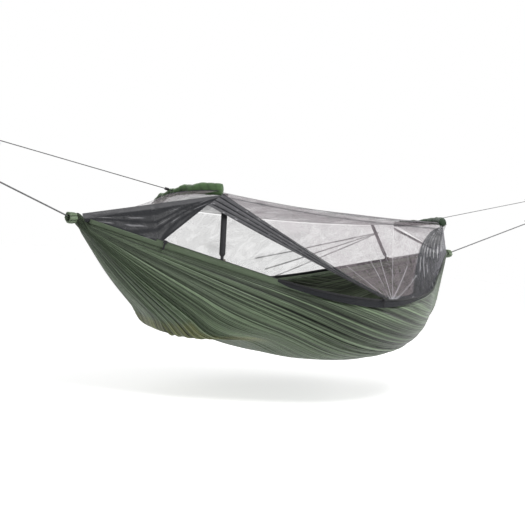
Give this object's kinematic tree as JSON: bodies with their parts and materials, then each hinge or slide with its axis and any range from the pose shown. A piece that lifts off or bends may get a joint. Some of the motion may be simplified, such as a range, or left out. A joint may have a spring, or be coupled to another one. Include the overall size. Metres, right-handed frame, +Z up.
{
  "type": "camping hammock",
  "caption": "Gathered-end camping hammock with a sewn-in insect net, bowed spreader poles in sleeves, a two-way zipped side door and ridge and main ropes ending in eyes.",
  "frame": {"origin": "centre of the eye at the end of the head-end main rope, where the hammock hangs", "axes": "+X along the hammock from the head end to the foot end, +Y across it away from the door side, +Z up"},
  "size_m": [3.4548, 1.138, 0.8962],
  "materials": {
    "olive_cloth": "matte",
    "bed_cloth": "matte",
    "grey_cord": "matte",
    "dark_webbing": "matte",
    "zip_nylon": "satin",
    "dark_metal": "gloss",
    "ferrule_metal": "satin",
    "pole_metal": "satin",
    "pole_tip": "matte",
    "green_sleeve": "matte",
    "dark_green_sleeve": "matte",
    "cord_lock": "gloss",
    "net_mesh": "matte",
    "toggle_plastic": "matte",
    "grey_line": "matte",
    "grey_rope": "matte"
  },
  "bodies": {
    "tree_loops": {"head_rope_eye": "grey_rope", "foot_rope_eye": "grey_rope"},
    "hammock": {"outer_layer": "olive_cloth", "bed_layer": "bed_cloth", "head_gather": "olive_cloth", "foot_gather": "olive_cloth", "head_lashing": "grey_cord", "foot_lashing": "grey_cord", "near_rim_band": "dark_webbing", "far_rim_band": "dark_webbing", "near_zip_tape": "zip_nylon", "far_zip_tape": "zip_nylon", "head_pole_near_rod": "pole_metal", "foot_pole_near_rod": "pole_metal", "head_pole_far_rod": "pole_metal", "foot_pole_far_rod": "pole_metal", "head_pole_ferrule": "ferrule_metal", "foot_pole_ferrule": "ferrule_metal", "head_pole_tips": "pole_tip", "foot_pole_tips": "pole_tip", "head_pole_sleeve": "green_sleeve", "foot_pole_sleeve": "dark_green_sleeve", "head_line_tab": "dark_webbing", "foot_line_tab": "dark_webbing", "head_line_lock": "cord_lock", "foot_line_lock": "cord_lock", "net_roof": "net_mesh", "net_head_roof": "net_mesh", "net_foot_roof": "net_mesh", "net_far_side": "net_mesh", "net_far_head": "net_mesh", "net_far_foot": "net_mesh", "net_door_fold": "net_mesh", "net_near_side": "net_mesh", "net_near_head": "net_mesh", "net_near_gusset": "net_mesh", "net_near_foot": "net_mesh", "near_side_strap": "dark_webbing", "far_side_strap": "dark_webbing", "head_rope": "grey_rope", "foot_rope": "grey_rope", "head_net_line": "grey_line", "foot_net_line": "grey_line", "head_net_line_eye": "grey_line", "foot_net_line_eye": "grey_line"},
    "near_head_slider": {"near_head_slider": "dark_metal"},
    "near_foot_slider": {"near_foot_slider": "dark_metal"},
    "far_head_slider": {"far_head_slider": "dark_metal"},
    "far_foot_slider": {"far_foot_slider": "dark_metal"},
    "near_head_pull": {"near_head_pull": "dark_metal"},
    "near_foot_pull": {"near_foot_pull": "dark_metal"},
    "far_head_pull": {"far_head_pull": "dark_metal"},
    "far_foot_pull": {"far_foot_pull": "dark_metal"},
    "near_strap_toggle": {"near_strap_toggle": "toggle_plastic"},
    "far_strap_toggle": {"far_strap_toggle": "toggle_plastic"}
  },
  "joints": [
    {"name": "sway", "type": "hinge", "parent": "tree_loops", "child": "hammock", "pos_m": [0.0236, 0, -0.00826], "axis": [0.9994, 0, 0.0345], "range_deg": [-20, 20]},
    {"name": "near_head_zip", "type": "slide", "parent": "hammock", "child": "near_head_slider", "axis": [0.8139, -0.5299, -0.2382], "range_m": [0, 0.34]},
    {"name": "near_foot_zip", "type": "hinge", "parent": "hammock", "child": "near_foot_slider", "pos_m": [1.4876, 0.28002, 0.02562], "axis": [0, -0.4099, 0.9121], "range_deg": [-33, 33]},
    {"name": "far_head_zip", "type": "hinge", "parent": "hammock", "child": "far_head_slider", "pos_m": [1.4876, -0.28002, 0.02562], "axis": [0, 0.4099, 0.9121], "range_deg": [0, 33]},
    {"name": "far_foot_zip", "type": "hinge", "parent": "hammock", "child": "far_foot_slider", "pos_m": [1.4876, -0.28002, 0.02562], "axis": [0, 0.4099, 0.9121], "range_deg": [-33, 0]},
    {"name": "near_head_pull_swing", "type": "hinge", "parent": "near_head_slider", "child": "near_head_pull", "pos_m": [0.63211, -0.20249, -0.18048], "axis": [-0.8139, 0.5299, 0.2382], "range_deg": [-10, 120]},
    {"name": "near_foot_pull_swing", "type": "hinge", "parent": "near_foot_slider", "child": "near_foot_pull", "pos_m": [1.4876, -0.5668, -0.34421], "axis": [-1, 0, 0], "range_deg": [-10, 120]},
    {"name": "far_head_pull_swing", "type": "hinge", "parent": "far_head_slider", "child": "far_head_pull", "pos_m": [1.47904, 0.56676, -0.34419], "axis": [1, 0.0084, -0.0038], "range_deg": [-10, 120]},
    {"name": "far_foot_pull_swing", "type": "hinge", "parent": "far_foot_slider", "child": "far_foot_pull", "pos_m": [1.49615, 0.56676, -0.34419], "axis": [1, -0.0084, 0.0038], "range_deg": [-10, 120]},
    {"name": "near_toggle_turn", "type": "hinge", "parent": "hammock", "child": "near_strap_toggle", "pos_m": [0.8353, -0.29651, -0.23129], "axis": [0.5044, 0.6947, -0.5128], "range_deg": [-80, 80]},
    {"name": "far_toggle_turn", "type": "hinge", "parent": "hammock", "child": "far_strap_toggle", "pos_m": [2.3349, 0.16955, -0.17423], "axis": [0.7971, -0.0471, 0.602], "range_deg": [-80, 80]}
  ]
}
